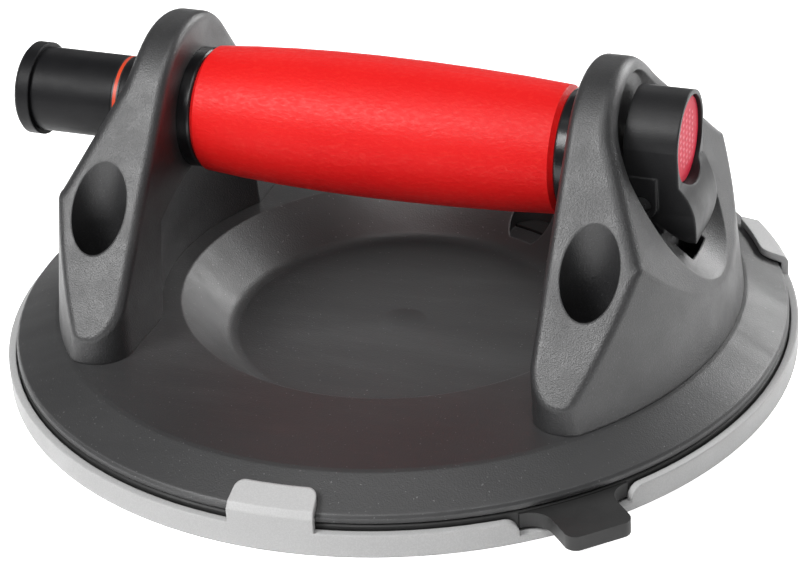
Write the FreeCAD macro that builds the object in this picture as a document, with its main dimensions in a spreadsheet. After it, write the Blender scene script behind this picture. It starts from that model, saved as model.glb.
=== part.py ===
"""Suction lifter for floor tiles, with a hand pump in its handle.

A rubber suction pad under a round base plate, two moulded brackets that carry the
handle, a pump barrel inside the grip with its plunger at the left end, a rocking
release lever with a red pad at the right end, and a protective cover that clips
on below.  Millimetres; the origin is the centre of the disc on the floor, +Z is
up, +X runs along the handle from the plunger to the release lever.
"""
import FreeCAD, Part
import math
import os
import Sketcher
from FreeCAD import Placement, Rotation, Vector

doc = FreeCAD.newDocument("SuctionLifter")

# ---------------------------------------------------------------- driving sizes
SIZES = [
    # protective cover
    ("cover_gap", 0.5, "air between the plate's rim and the cover's ring"),
    ("cover_floor", 2.0, "thickness of the cover's floor"),
    ("cover_wall", 2.0, "thickness of the cover's ring and clips"),
    ("cover_ring", 6.4, "height of the cover's ring above the floor"),
    ("clip_arc", 12.0, "arc that one clip takes, degrees"),
    ("clip_first", -87.3, "direction of the first clip, degrees"),
    ("clip_count", 3, "clips round the cover"),
    ("clip_reach", 5.0, "how far a clip lies over the plate's slope"),
    ("clip_corner", 2.6, "corner radius of a clip's tip"),
    ("notch_from", -54.4, "start of the notch for the pull tab, degrees"),
    ("notch_to", -38.0, "end of the notch for the pull tab, degrees"),
    ("notch_round", 3.4, "rounding of the ring's ends beside the notch"),
    ("rest_gap", 0.3, "air between two loose bodies at rest"),
    # suction pad
    ("pad_radius", 105.0, "radius of the rubber pad and of the base plate"),
    ("pad_edge", 5.4, "height of the rubber edge"),
    ("pad_hollow", 1.3, "how far the pad's underside is hollowed"),
    ("pad_lip", 7.0, "width of the outer sealing lip"),
    ("pad_flange", 2.7, "rubber clamped by the ring"),
    ("rib_width", 1.6, "width of a sealing rib"),
    ("rib_pitch", 9.0, "distance from one sealing rib to the next"),
    ("tab_angle", -46.0, "direction of the pull tab, degrees"),
    ("tab_out", 15.0, "how far the pull tab stands out of the pad"),
    ("tab_width", 17.6, "width of the pull tab"),
    ("tab_thick", 4.0, "thickness of the pull tab"),
    ("tab_root", 6.0, "radius of the hollow corners at the tab's root"),
    ("tab_corner", 3.0, "radius of the tab's outer corners"),
    # base plate
    ("rim_height", 2.3, "height of the plate's upright rim"),
    ("rim_step", 0.8, "shadow step under the rim"),
    ("slope_height", 5.9, "rise from the rim to the plateau"),
    ("slope_width", 11.8, "width of the slope from the rim to the plateau"),
    ("recess_radius", 59.0, "radius of the finger recess at the plateau"),
    ("recess_lean", 43.0, "slope of the recess wall, degrees"),
    ("recess_blend", 5.0, "radius between the recess wall and its floor"),
    ("recess_depth", 11.8, "depth of the finger recess"),
    ("plate_floor", 1.6, "thickness of the plate under the recess"),
    ("edge_break", 0.6, "width of the plate's broken edges"),
    ("plate_hub_inset", 3.0, "how far the plate's hub stands inside the recess's edge"),
    ("hub_clearance", 0.4, "air between the plate's hub and the pad"),
    ("dimple_radius", 6.5, "radius of the dimple in the recess floor"),
    ("dimple_depth", 0.8, "depth of the dimple"),
    ("scallop_radius", 6.5, "radius of the scallop in the recess wall"),
    ("scallop_inset", 3.5, "how far the scallop's centre stands inside the recess's edge"),
    ("scallop_angle", 68.0, "direction of the scallop, degrees"),
    # clamp ring
    ("ring_reach", 14.0, "how far the clamp ring reaches over the pad from the plate's hub"),
    ("ring_thick", 1.2, "thickness of the clamp ring"),
    ("ring_screw_out", 7.5, "distance of the ring screws from the plate's hub"),
    ("ring_screw_radius", 1.6, "shank radius of a ring screw"),
    ("ring_screw_head", 3.0, "head radius of a ring screw"),
    ("ring_screw_length", 10.0, "length of a ring screw under its head"),
    ("ring_screw_count", 6, "ring screws"),
    # brackets
    ("handle_height", 62.7, "height of the handle's axis"),
    ("hub_radius", 25.8, "radius of a bracket's round head"),
    ("leg_lean", 37.3, "lean of a leg's front face from upright, degrees"),
    ("inner_top", 54.7, "inner face of a bracket level with its top"),
    ("inner_foot", 55.6, "inner face of a bracket at its foot"),
    ("hub_face", 66.3, "outer face of a bracket's head"),
    ("knee_rise", 15.7, "rise from the handle's axis to where the outer face starts to lean"),
    ("shoulder_lean", 27.5, "lean of the outer face from upright, degrees"),
    ("knee_radius", 20.0, "radius of the bend in the outer face"),
    ("skirt_margin", 0.4, "width of the plateau outside the skirt"),
    ("skirt_draft", 6.0, "lean of the skirt from upright, degrees"),
    ("arch_radius", 65.0, "radius of the hollow inner wall"),
    ("arch_draft", 4.5, "lean of the hollow inner wall, degrees"),
    ("arch_height", 43.0, "height of the hollow inner wall"),
    ("foot_tip", 62.4, "distance of a foot's tip from the middle"),
    ("foot_inner_round", 9.0, "plan radius of a foot's inner corner"),
    ("foot_outer_round", 5.5, "plan radius of a foot's outer corner"),
    ("inner_crease", 2.6, "rounding of a bracket's edge towards the hand"),
    ("outer_crease", 4.0, "rounding of a bracket's edge on the outside"),
    # screws that hold the brackets
    ("screw_along", 67.2, "place of a bracket screw along the handle"),
    ("screw_across", 41.3, "place of a bracket screw across the handle"),
    ("pocket_radius", 7.6, "radius of a screw pocket"),
    ("pocket_floor", 24.0, "height of a screw pocket's floor"),
    ("screw_radius", 2.5, "shank radius of a bracket screw"),
    ("screw_head_radius", 4.25, "head radius of a bracket screw"),
    ("screw_head_height", 5.0, "head height of a bracket screw"),
    ("screw_key", 4.0, "hexagon of a bracket screw, across flats"),
    ("washer_radius", 6.0, "radius of a bracket washer"),
    ("washer_thick", 1.0, "thickness of a bracket washer"),
    ("nut_flats", 8.0, "bracket nut, across flats"),
    ("nut_height", 4.0, "height of a bracket nut"),
    ("fit", 0.05, "radial clearance of a close fit"),
    # pump
    ("barrel_radius", 15.0, "outer radius of the pump barrel"),
    ("barrel_bore", 13.2, "bore radius of the pump barrel"),
    ("barrel_left", 65.0, "left end of the barrel, from the middle"),
    ("vent_face", 62.5, "inner face of the right head's end wall"),
    ("plunger_radius", 11.5, "outer radius of the plunger tube"),
    ("plunger_bore", 9.2, "bore radius of the plunger tube"),
    ("plunger_tip", 105.2, "outer end of the plunger, from the middle"),
    ("cap_radius", 12.7, "radius of the plunger's cap"),
    ("cap_thick", 4.4, "thickness of the plunger's cap"),
    ("cap_spigot", 9.0, "length of the spigot inside the plunger"),
    ("pump_travel", 24.0, "stroke of the plunger"),
    ("mark_place", 75.6, "place of the coloured mark ring, from the middle"),
    ("mark_width", 1.8, "width of the mark ring"),
    ("mark_depth", 0.9, "depth of the mark ring's groove"),
    ("piston_place", 50.0, "outer face of the piston, from the middle"),
    ("piston_length", 8.0, "length of the piston"),
    ("seal_width", 2.6, "width of the piston seal"),
    ("seal_depth", 1.8, "depth of the piston seal's groove"),
    ("plug_place", 38.0, "left face of the valve plug, from the middle"),
    ("plug_length", 10.0, "length of the valve plug"),
    ("skirt_bore", 12.1, "bore of the plug's skirt"),
    ("seal_inset", 3.0, "distance of the barrel's ring groove from the end wall"),
    ("ring_section", 0.9, "section radius of the two sealing rings"),
    ("flap_radius", 6.0, "radius of the check valve's flap"),
    ("flap_thick", 1.2, "thickness of the check valve's flap"),
    ("flap_stem", 1.5, "radius of the flap's stem"),
    ("port_radius", 1.0, "radius of an air port in the valve plug"),
    ("port_circle", 4.0, "radius of the circle of air ports"),
    ("port_count", 4, "air ports in the valve plug"),
    ("spring_radius", 8.4, "mean radius of the pump spring"),
    ("spring_wire", 0.7, "wire radius of the pump spring"),
    ("spring_pitch", 13.0, "pitch of the pump spring"),
    ("cap_recess_radius", 13.9, "radius of the recess for the plunger's cap"),
    ("cap_recess_depth", 74.5, "where that recess ends, from the middle"),
    ("plunger_hole", 12.0, "radius of the hole for the plunger in the left head"),
    ("bush_right", 50.3, "right end of the bush, from the middle"),
    ("running", 0.05, "radial clearance of a sliding fit"),
    # grip
    ("grip_length", 101.0, "length of the rubber grip"),
    ("grip_shift", -0.8, "place of the grip's middle along the handle"),
    ("grip_end_radius", 16.9, "radius of the grip at its ends"),
    ("grip_swell_radius", 18.9, "radius of the grip at its swelling"),
    ("grip_swell_place", 6.0, "place of the swelling left of the middle"),
    ("grip_end_round", 1.2, "rounding of the grip's ends"),
    ("collar_radius", 16.2, "outer radius of the two collars"),
    # release lever and valve
    ("valve_rise", 7.1, "rise from the handle's axis to the lever's head and the valve"),
    ("head_radius", 12.7, "radius of the lever's head"),
    ("head_back", 67.5, "back face of the lever's head"),
    ("head_face", 81.6, "front face of the lever's head"),
    ("button_radius", 11.5, "radius of the red pad"),
    ("button_inset", 2.2, "how deep the red pad's seat is"),
    ("button_thick", 1.2, "thickness of the red pad"),
    ("pivot_along", 72.0, "place of the lever's pivot along the handle"),
    ("pivot_drop", 7.3, "drop from the handle's axis to the lever's pivot"),
    ("pin_radius", 2.5, "radius of the lever pin"),
    ("pin_half", 9.5, "half the length of the lever pin"),
    ("ear_radius", 4.0, "radius of the lever's ears"),
    ("ear_inner", 5.0, "inner side of the lever's ears"),
    ("ear_outer", 12.0, "outer side of the lever's ears"),
    ("lug_half", 4.5, "half the width of the housing's lug"),
    ("leg_tip_radius", 10.4, "radius of the lever leg's rounded tip"),
    ("leg_tip_drop", 11.1, "drop from the handle's axis to that tip's centre"),
    ("leg_neck_drop", 1.7, "drop from the handle's axis to where the leg leaves the head"),
    ("leg_toe", 83.6, "place of the leg's lower end along the handle"),
    ("leg_toe_drop", 21.9, "drop from the handle's axis to that end"),
    ("leg_bulge_round", 18.0, "radius of the leg's swelling"),
    ("ear_clearance", 0.6, "air round the lever's ears"),
    ("lever_near_radius", 14.6, "radius of the lever's blank where it starts"),
    ("lever_far_radius", 23.6, "radius of the lever's blank at its end"),
    ("lever_far_drop", 3.9, "drop from the handle's axis to the blank's axis at its end"),
    ("scoop_near_radius", 15.8, "radius of the scoop in the head"),
    ("scoop_far_radius", 30.0, "radius of the scoop at the skirt"),
    ("scoop_near_rise", 6.3, "rise from the handle's axis to the scoop's axis where it starts"),
    ("scoop_near", 64.8, "where the scoop starts"),
    ("scoop_middle", 72.0, "where the scoop changes its flare"),
    ("scoop_middle_rise", 6.3, "rise from the handle's axis to the scoop's axis there"),
    ("scoop_middle_radius", 22.0, "radius of the scoop there"),
    ("scoop_short", 0.8, "how far inside the skirt's foot the scoop ends"),
    ("scoop_far_drop", 1.7, "drop from the handle's axis to the scoop's axis at the skirt"),
    ("slot_half", 6.0, "half the width of the slot below the lever"),
    ("slot_from", 77.8, "inner end of the slot below the lever"),
    ("slot_to", 83.6, "outer end of the slot below the lever"),
    ("slot_drop", 29.7, "drop from the handle's axis to that slot's floor"),
    ("duct_radius", 1.6, "radius of the air duct"),
    ("duct_along", 73.5, "place of the upright duct"),
    ("duct_knee_drop", 21.7, "drop from the handle's axis to where the duct turns upright"),
    ("duct_mouth_drop", 9.7, "drop from the handle's axis to the duct's mouth in the valve chamber"),
    ("stem_radius", 1.5, "radius of the valve stem"),
    ("stem_hole", 2.3, "radius of the vent hole round the stem"),
    ("stem_gap", 0.3, "air between the stem and the lever's head"),
    ("poppet_radius", 4.5, "radius of the valve's disc"),
    ("poppet_thick", 1.6, "thickness of the valve's disc"),
    ("poppet_seal", 1.8, "thickness of the valve's rubber seal"),
    ("poppet_spring_radius", 3.2, "mean radius of the valve spring"),
    ("poppet_spring_wire", 0.4, "wire radius of the valve spring"),
    ("poppet_spring_pitch", 3.4, "pitch of the valve spring"),
    # dust filter
    ("filter_radius", 5.2, "radius of the dust filter"),
    ("filter_thick", 3.0, "thickness of the dust filter"),
    ("filter_along", 76.3, "place of the dust filter along the handle"),
]

# sizes that follow from the ones above
FORMULAS = [
    ("cover_radius", "=pad_radius + cover_gap + cover_wall", "outer radius of the cover"),
    ("tab_reach", "=pad_radius + tab_out", "radius that the pull tab reaches"),
    ("plateau_radius", "=pad_radius - slope_width", "outer radius of the plateau"),
    ("skirt_radius", "=plateau_radius - skirt_margin", "radius of the skirt at its foot"),
    ("scoop_far", "=skirt_radius - scoop_short", "where the scoop ends"),
    ("scallop_place", "=recess_radius - scallop_inset", "distance of the scallop from the centre"),
    ("plate_hub_radius", "=recess_radius - plate_hub_inset", "radius of the plate's hub in the pad"),
    ("ring_outer", "=plate_hub_radius + ring_reach", "outer radius of the clamp ring"),
    ("ring_screw_circle", "=plate_hub_radius + ring_screw_out", "radius of the circle of ring screws"),
    ("knee_height", "=handle_height + knee_rise", "height where the outer face starts to lean"),
    ("valve_height", "=handle_height + valve_rise", "height of the lever's head and of the valve"),
    ("scoop_near_height", "=handle_height + scoop_near_rise", "height of the scoop's axis at its start"),
    ("scoop_middle_height", "=handle_height + scoop_middle_rise", "height of its axis at its middle"),
    ("scoop_far_height", "=handle_height - scoop_far_drop", "height of its axis at the skirt"),
    ("lever_far_height", "=handle_height - lever_far_drop", "height of the blank's axis at its end"),
    ("leg_neck_height", "=handle_height - leg_neck_drop", "height where the leg leaves the head"),
    ("pivot_height", "=handle_height - pivot_drop", "height of the lever's pivot"),
    ("leg_tip_height", "=handle_height - leg_tip_drop", "height of the leg tip's centre"),
    ("leg_toe_height", "=handle_height - leg_toe_drop", "height of the leg's lower end"),
    ("duct_mouth", "=handle_height - duct_mouth_drop", "height of the duct's mouth"),
    ("duct_knee", "=handle_height - duct_knee_drop", "height where the duct turns upright"),
    ("slot_floor", "=handle_height - slot_drop", "height of the floor of the slot below the lever"),
]

sheet = doc.addObject("Spreadsheet::Sheet", "Sizes")
for row, (alias, value, note) in enumerate(SIZES + FORMULAS, start=1):
    sheet.set(f"A{row}", note)
    sheet.set(f"B{row}", str(value))
    sheet.setAlias(f"B{row}", alias)
doc.recompute()


class Dim:
    """A number together with the spreadsheet formula that it comes from."""

    def __init__(self, value, text):
        self.value = value
        self.text = text

    @staticmethod
    def of(other):
        return other if isinstance(other, Dim) else Dim(float(other), repr(float(other)))

    def __add__(self, other):
        other = Dim.of(other)
        return Dim(self.value + other.value, f"({self.text} + {other.text})")

    def __sub__(self, other):
        other = Dim.of(other)
        return Dim(self.value - other.value, f"({self.text} - {other.text})")

    def __mul__(self, other):
        other = Dim.of(other)
        return Dim(self.value * other.value, f"({self.text} * {other.text})")

    def __truediv__(self, other):
        other = Dim.of(other)
        return Dim(self.value / other.value, f"({self.text} / {other.text})")

    def __neg__(self):
        return Dim(-self.value, f"(0 - {self.text})")

    def __radd__(self, other):
        return Dim.of(other) + self

    def __rsub__(self, other):
        return Dim.of(other) - self

    def __rmul__(self, other):
        return Dim.of(other) * self

    def __rtruediv__(self, other):
        return Dim.of(other) / self


def sine(angle):
    return Dim(math.sin(math.radians(angle.value)), f"sin({angle.text} * 1 deg)")


def cosine(angle):
    return Dim(math.cos(math.radians(angle.value)), f"cos({angle.text} * 1 deg)")


def tangent(angle):
    return Dim(math.tan(math.radians(angle.value)), f"tan({angle.text} * 1 deg)")


def root(number):
    return Dim(math.sqrt(number.value), f"sqrt({number.text})")


class Sizes:
    """The spreadsheet's cells by alias, each as a Dim."""

    def __getattr__(self, alias):
        return Dim(float(getattr(sheet, alias)), f"Sizes.{alias}")


d = Sizes()


# ---------------------------------------------------------------- modelling aids
def bind(item, prop, dim):
    """Tie a property to a spreadsheet formula."""
    item.setExpression(prop, Dim.of(dim).text)


def new_body(label, z=None):
    """An empty body, lifted to height z where one is given."""
    body = doc.addObject("PartDesign::Body", label)
    body.Label = label
    if z is not None:
        bind(body, "Placement.Base.z", z)
    return body


def origin_item(body, role):
    return next(o for o in body.Origin.OriginFeatures if o.Role == role)


def new_sketch(body, name, role, offset=None, turn=None, turn_axis=Vector(0, 0, 1)):
    """A sketch on one of the body's origin planes, shifted along its normal, or
    turned about one of its own axes."""
    sketch = body.newObject("Sketcher::SketchObject", name)
    sketch.AttachmentSupport = [(origin_item(body, role), "")]
    sketch.MapMode = "FlatFace"
    if turn is not None:
        sketch.AttachmentOffset = Placement(Vector(), Rotation(turn_axis, 1))
        bind(sketch, "AttachmentOffset.Rotation.Angle", turn)
    if offset is not None:
        bind(sketch, "AttachmentOffset.Base.z", offset)
    return sketch


def fix(sketch, kind, *where, dim):
    """Add one driving constraint and tie it to its formula."""
    number = sketch.addConstraint(Sketcher.Constraint(kind, *where, dim.value))
    sketch.setExpression(f"Constraints[{number}]", dim.text)


def place_point(sketch, geometry, end, x, y):
    """Fix a point's two coordinates from the sketch's origin."""
    for kind, dim in (("DistanceX", Dim.of(x)), ("DistanceY", Dim.of(y))):
        if abs(dim.value) < 1e-9:
            axis = -2 if kind == "DistanceX" else -1
            sketch.addConstraint(Sketcher.Constraint("PointOnObject", geometry, end, axis))
        else:
            fix(sketch, kind, -1, 1, geometry, end, dim=dim)


def arc_middle(p, q, radius, side):
    """The middle of the arc from p to q that bulges to the left (side 1) or right."""
    chord = q - p
    half = chord.Length / 2
    rise = radius - math.sqrt(max(radius ** 2 - half ** 2, 0.0))
    left = Vector(-chord.y, chord.x, 0).normalize()
    return (p + q) * 0.5 + left * rise * side


def outline(sketch, corners):
    """A closed outline.  A corner is (x, y), or (x, y, radius, side) where the
    stretch that leaves it is an arc."""
    ends = [Vector(Dim.of(c[0]).value, Dim.of(c[1]).value, 0) for c in corners]
    numbers = []
    for n, corner in enumerate(corners):
        p, q = ends[n], ends[(n + 1) % len(ends)]
        if len(corner) == 2:
            shape = Part.LineSegment(p, q)
        else:
            shape = Part.Arc(p, arc_middle(p, q, corner[2].value, corner[3]), q)
        numbers.append(sketch.addGeometry(shape))
    starts = []
    for n, number in enumerate(numbers):
        first = sketch.getPoint(number, 1)
        forward = (first - ends[n]).Length < 1e-6
        starts.append((1, 2) if forward else (2, 1))
    for n, number in enumerate(numbers):
        after = (n + 1) % len(numbers)
        sketch.addConstraint(Sketcher.Constraint(
            "Coincident", number, starts[n][1], numbers[after], starts[after][0]))
    for n, corner in enumerate(corners):
        place_point(sketch, numbers[n], starts[n][0], corner[0], corner[1])
        if len(corner) == 4:
            fix(sketch, "Radius", numbers[n], dim=corner[2])
    return sketch


def circle(sketch, x, y, radius):
    number = sketch.addGeometry(Part.Circle(
        Vector(Dim.of(x).value, Dim.of(y).value, 0), Vector(0, 0, 1), Dim.of(radius).value))
    place_point(sketch, number, 3, x, y)
    fix(sketch, "Radius", number, dim=Dim.of(radius))
    return sketch


def pad(body, sketch, length, reversed_=False, midplane=False):
    feature = body.newObject("PartDesign::Pad", sketch.Name + "Pad")
    feature.Profile = sketch
    feature.Reversed = reversed_
    feature.Midplane = midplane
    bind(feature, "Length", length)
    return feature


def pocket(body, sketch, length=None, upwards=False, both=False):
    """Cut along the sketch's normal (upwards) or against it; through all when no
    length is given."""
    feature = body.newObject("PartDesign::Pocket", sketch.Name + "Cut")
    feature.Profile = sketch
    feature.Reversed = upwards
    if length is None:
        feature.Type = "ThroughAll"
        feature.Midplane = both
    else:
        bind(feature, "Length", length)
    return feature


def turned(body, sketch, axis, angle=None, cut=False):
    """Revolve a sketch about one of its own axes, a full turn unless told."""
    kind = "PartDesign::Groove" if cut else "PartDesign::Revolution"
    feature = body.newObject(kind, sketch.Name + ("Groove" if cut else "Turned"))
    feature.Profile = sketch
    feature.ReferenceAxis = (sketch, [axis])
    if angle is None:
        feature.Angle = 360
    else:
        bind(feature, "Angle", angle)
        feature.Midplane = True
    return feature


def ring_of(body, feature, count):
    """Repeat a feature evenly round the body's upright axis."""
    pattern = body.newObject("PartDesign::PolarPattern", feature.Name + "Ring")
    pattern.Originals = [feature]
    pattern.Axis = (origin_item(body, "Z_Axis"), [""])
    pattern.Angle = 360
    bind(pattern, "Occurrences", count)
    body.Tip = pattern
    return pattern


def edges_where(feature, wanted):
    doc.recompute()
    return [f"Edge{n}" for n, edge in enumerate(feature.Shape.Edges, start=1) if wanted(edge)]


def rounded(body, feature, wanted, radius):
    fillet = body.newObject("PartDesign::Fillet", feature.Name + "Round")
    fillet.Base = (feature, edges_where(feature, wanted))
    bind(fillet, "Radius", radius)
    return fillet


def middle_of(edge):
    return edge.valueAt((edge.FirstParameter + edge.LastParameter) / 2)


def stands(edge):
    """Whether an edge runs more up than along."""
    first, last = (vertex.Point for vertex in edge.Vertexes)
    return abs(first.z - last.z) > (first - last).Length * 0.8


# ---------------------------------------------------------------- levels
pad_bottom = d.cover_floor + d.rest_gap
pad_top = pad_bottom + d.pad_edge
rim_top = pad_top + d.rim_height
plateau = rim_top + d.slope_height
recess_floor = plateau - d.recess_depth
plate_bottom = recess_floor - d.plate_floor
flange_bottom = pad_top - d.pad_flange
ring_bottom = flange_bottom - d.ring_thick
hub_outer = d.plate_hub_radius
slope_run = d.pad_radius - d.plateau_radius
cover_inner = d.cover_radius - d.cover_wall
barrel_seat = d.barrel_radius + d.fit
plug_radius = d.barrel_bore - d.fit
LEFT, RIGHT = -1, 1


def screw_spots(circle_radius, count, half_step=True):
    """Evenly spaced places on a circle round the upright axis."""
    spots = []
    for n in range(int(count.value)):
        step = n + 0.5 if half_step else n
        angle = Dim(360 / count.value * step, f"(360 / {count.text} * {step})")
        spots.append((circle_radius * cosine(angle), circle_radius * sine(angle)))
    return spots


def bracket_screw_spots():
    return [(d.screw_along * side, d.screw_across * way) for side in (LEFT, RIGHT)
            for way in (-1, 1)]


# ---------------------------------------------------------------- cover and pad
def make_cover():
    """A shallow cap with a notch for the pull tab and three clips."""
    body = new_body("protective_cover")
    section = new_sketch(body, "CoverSection", "XZ_Plane")
    outline(section, [
        (0, 0), (d.cover_radius, 0), (d.cover_radius, d.cover_ring),
        (cover_inner, d.cover_ring), (cover_inner, d.cover_floor), (0, d.cover_floor)])
    turned(body, section, "V_Axis")

    notch = new_sketch(body, "TabNotch", "XY_Plane", offset=d.cover_floor)
    near = cover_inner * 0.9
    far = d.cover_radius * 1.1
    outline(notch, [
        (near * cosine(d.notch_from), near * sine(d.notch_from)),
        (far * cosine(d.notch_from), far * sine(d.notch_from)),
        (far * 1.1 * cosine(d.tab_angle), far * 1.1 * sine(d.tab_angle)),
        (far * cosine(d.notch_to), far * sine(d.notch_to)),
        (near * cosine(d.notch_to), near * sine(d.notch_to))])
    notched = pocket(body, notch, d.cover_ring, upwards=True)

    def beside_the_notch(edge):
        p = middle_of(edge)
        return (len(edge.Vertexes) == 2 and abs(p.z - d.cover_ring.value) < 0.01
                and abs(edge.Length - d.cover_wall.value) < 0.3)

    rounded(body, notched, beside_the_notch, d.notch_round)

    fall = d.slope_height / slope_run
    heel = rim_top + d.rest_gap + 0.05
    tip = d.pad_radius - d.clip_reach
    clip = new_sketch(body, "ClipSection", "XZ_Plane", turn=d.clip_first,
                      turn_axis=Vector(0, 1, 0))
    outline(clip, [
        (cover_inner, d.cover_ring - 1), (d.cover_radius, d.cover_ring - 1),
        (d.cover_radius, heel), (d.cover_radius - 1.2, heel + 1.6),
        (tip, heel + d.clip_reach * fall + d.cover_wall),
        (tip, heel + d.clip_reach * fall), (cover_inner, heel - 0.2)])
    finger = turned(body, clip, "V_Axis", d.clip_arc)
    clips = ring_of(body, finger, d.clip_count)

    def at_a_tip(edge):
        p = middle_of(edge)
        ends = [v.Point for v in edge.Vertexes]
        return (abs(math.hypot(p.x, p.y) - tip.value) < 0.1 and len(ends) == 2
                and abs(ends[0].z - ends[1].z) > d.cover_wall.value / 2)

    rounded(body, clips, at_a_tip, d.clip_corner)
    return body


def make_suction_pad():
    """A rubber disc with ribs and a sealing lip below, and a pull tab."""
    body = new_body("suction_pad")
    inner = hub_outer + d.hub_clearance
    roof = pad_bottom + d.pad_hollow
    lip_inner = d.pad_radius - d.pad_lip
    corners = [
        (inner, flange_bottom), (d.ring_outer + 1, flange_bottom), (d.ring_outer + 1.5, roof)]
    for n in (2, 1):
        rib = lip_inner - d.rib_pitch * n
        corners += [
            (rib, roof), (rib + 0.4, pad_bottom + 0.3),
            (rib + d.rib_width - 0.4, pad_bottom + 0.3), (rib + d.rib_width, roof)]
    corners += [
        (lip_inner, roof), (lip_inner + 1, pad_bottom), (d.pad_radius - 0.6, pad_bottom),
        (d.pad_radius, pad_bottom + 0.6), (d.pad_radius, pad_top - 0.4),
        (d.pad_radius - 0.4, pad_top), (inner, pad_top)]
    section = new_sketch(body, "PadSection", "XZ_Plane")
    outline(section, corners)
    turned(body, section, "V_Axis")

    half = d.tab_width / 2
    bend = d.pad_radius * 0.995
    tab = new_sketch(body, "TabOutline", "XY_Plane", turn=d.tab_angle, offset=pad_bottom + 0.7)
    end = d.tab_reach
    outline(tab, [
        (bend - 6, -half - d.tab_root), (bend, -half - d.tab_root, d.tab_root, 1),
        (bend + d.tab_root, -half), (end - d.tab_corner, -half, d.tab_corner, -1),
        (end, -half + d.tab_corner), (end, half - d.tab_corner, d.tab_corner, -1),
        (end - d.tab_corner, half), (bend + d.tab_root, half, d.tab_root, 1),
        (bend, half + d.tab_root), (bend - 6, half + d.tab_root)])
    pad(body, tab, d.tab_thick)

    holes = new_sketch(body, "PadHoles", "XY_Plane", offset=pad_top)
    for x, y in screw_spots(d.ring_screw_circle, d.ring_screw_count):
        circle(holes, x, y, d.ring_screw_radius + d.fit)
    pocket(body, holes)
    port = new_sketch(body, "FilterHole", "XY_Plane", offset=pad_top)
    circle(port, d.filter_along, 0, d.filter_radius + d.fit)
    pocket(body, port)
    return body


def make_clamp_ring():
    """The flat ring below that clamps the pad's inner edge."""
    body = new_body("pad_clamp_ring")
    section = new_sketch(body, "RingSection", "XZ_Plane")
    outline(section, [
        (hub_outer + 1, ring_bottom), (d.ring_outer, ring_bottom),
        (d.ring_outer, flange_bottom), (hub_outer + 1, flange_bottom)])
    turned(body, section, "V_Axis")
    holes = new_sketch(body, "RingHoles", "XY_Plane", offset=flange_bottom)
    for x, y in screw_spots(d.ring_screw_circle, d.ring_screw_count):
        circle(holes, x, y, d.ring_screw_radius + d.fit)
    pocket(body, holes)
    return body


def make_ring_screws():
    """Six self-tapping screws; their heads bear on the clamp ring from below."""
    return grouped("ring_screws", screw_spots(d.ring_screw_circle, d.ring_screw_count),
                   lambda name: screw_form(
                       name, ring_bottom, d.ring_screw_head, d.ring_screw_head * 0.25,
                       d.ring_screw_radius, d.ring_screw_length, downwards_head=True,
                       key=d.ring_screw_head * 0.8))


def make_dust_filter():
    """A foam disc in the pad's hole, under the air port."""
    disc = doc.addObject("Part::Cylinder", "dust_filter")
    bind(disc, "Radius", d.filter_radius)
    bind(disc, "Height", d.filter_thick)
    bind(disc, "Placement.Base.x", d.filter_along)
    bind(disc, "Placement.Base.z", pad_top - d.filter_thick)
    return disc


# ---------------------------------------------------------------- base plate
def make_base_plate():
    """The rigid disc: rim, slope, plateau and a round recess for the fingers."""
    body = new_body("base_plate")
    fall = d.slope_height / slope_run
    wall_foot = d.recess_radius - (d.recess_depth - d.edge_break) / tangent(d.recess_lean)
    blend = d.recess_blend * tangent(d.recess_lean / 2)
    section = new_sketch(body, "PlateSection", "XZ_Plane")
    outline(section, [
        (0, plate_bottom), (hub_outer, plate_bottom), (hub_outer, pad_top),
        (d.pad_radius - d.rim_step, pad_top), (d.pad_radius - d.rim_step, pad_top + 0.5),
        (d.pad_radius, pad_top + 0.5), (d.pad_radius, rim_top - d.edge_break),
        (d.pad_radius - d.edge_break, rim_top + d.edge_break * fall),
        (d.plateau_radius + d.edge_break, plateau - d.edge_break * fall),
        (d.plateau_radius - d.edge_break, plateau),
        (d.recess_radius + d.edge_break, plateau),
        (d.recess_radius, plateau - d.edge_break),
        (wall_foot + blend * cosine(d.recess_lean), recess_floor + blend * sine(d.recess_lean),
         d.recess_blend, 1),
        (wall_foot - blend, recess_floor), (0, recess_floor)])
    turned(body, section, "V_Axis")

    depth, half = d.dimple_depth, d.dimple_radius
    dish = (half * half + depth * depth) / (depth * 2)
    dimple = new_sketch(body, "Dimple", "XZ_Plane")
    outline(dimple, [
        (0, recess_floor - depth, dish, -1), (half, recess_floor), (half, recess_floor + 1),
        (0, recess_floor + 1)])
    turned(body, dimple, "V_Axis", cut=True)

    scallop = new_sketch(body, "Scallop", "XY_Plane", offset=recess_floor + 3)
    circle(scallop, d.scallop_place * cosine(d.scallop_angle),
           d.scallop_place * sine(d.scallop_angle), d.scallop_radius)
    pocket(body, scallop, upwards=True)

    holes = new_sketch(body, "ScrewHoles", "XY_Plane", offset=plateau)
    for x, y in bracket_screw_spots():
        circle(holes, x, y, d.screw_radius + d.fit)
    pocket(body, holes)
    nuts = new_sketch(body, "NutPockets", "XY_Plane", offset=pad_top)
    for x, y in bracket_screw_spots():
        outline(nuts, hexagon_corners(x, y, d.nut_flats + d.fit * 2))
    pocket(body, nuts, d.nut_height + d.fit, upwards=True)
    bosses = new_sketch(body, "RingScrewHoles", "XY_Plane", offset=pad_top)
    for x, y in screw_spots(d.ring_screw_circle, d.ring_screw_count):
        circle(bosses, x, y, d.ring_screw_radius + d.fit)
    pocket(body, bosses, d.ring_screw_length - d.pad_flange - d.ring_thick + 0.5, upwards=True)
    port = new_sketch(body, "AirPort", "XY_Plane", offset=plateau)
    circle(port, d.duct_along, 0, d.duct_radius)
    pocket(body, port)
    return body


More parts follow.
